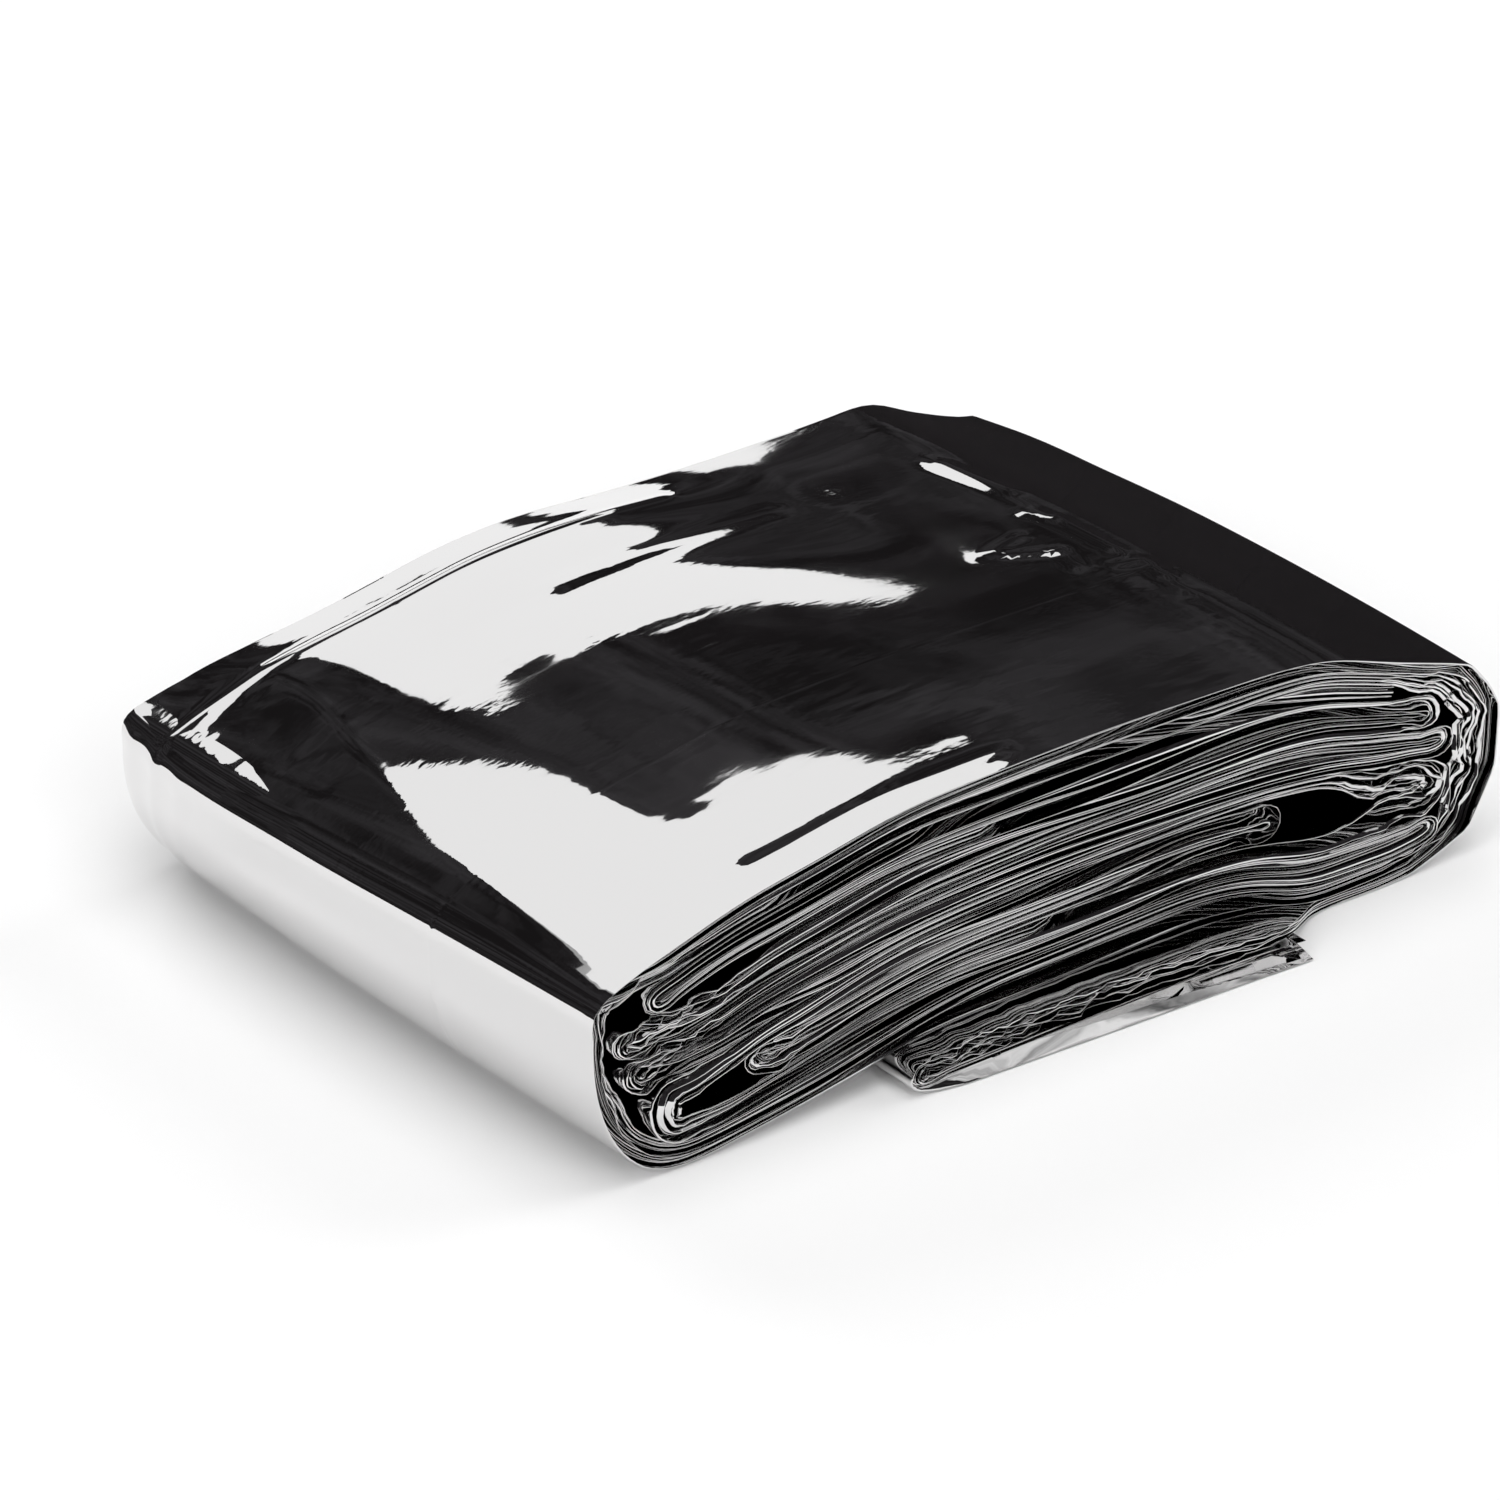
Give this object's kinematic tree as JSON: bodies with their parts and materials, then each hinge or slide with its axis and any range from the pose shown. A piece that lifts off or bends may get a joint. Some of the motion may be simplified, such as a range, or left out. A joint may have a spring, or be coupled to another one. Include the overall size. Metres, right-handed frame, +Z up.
{
  "type": "folded emergency foil blanket",
  "caption": "Thin silver film blanket folded back and forth into a flat, springy bundle, with its loose tail tucked under it.",
  "frame": {"origin": "bottom centre of the bundle's bounding box, on the surface that it lies on", "axes": "+X along the bundle's length, +Y across the folded strip towards its back edge, away from the side where the tail sticks out, +Z up"},
  "size_m": [0.1266, 0.0957, 0.0337],
  "materials": {
    "film": "mirror-like metallised film, finely creased"
  },
  "bodies": {
    "root": {"blanket": "film"}
  },
  "joints": []
}
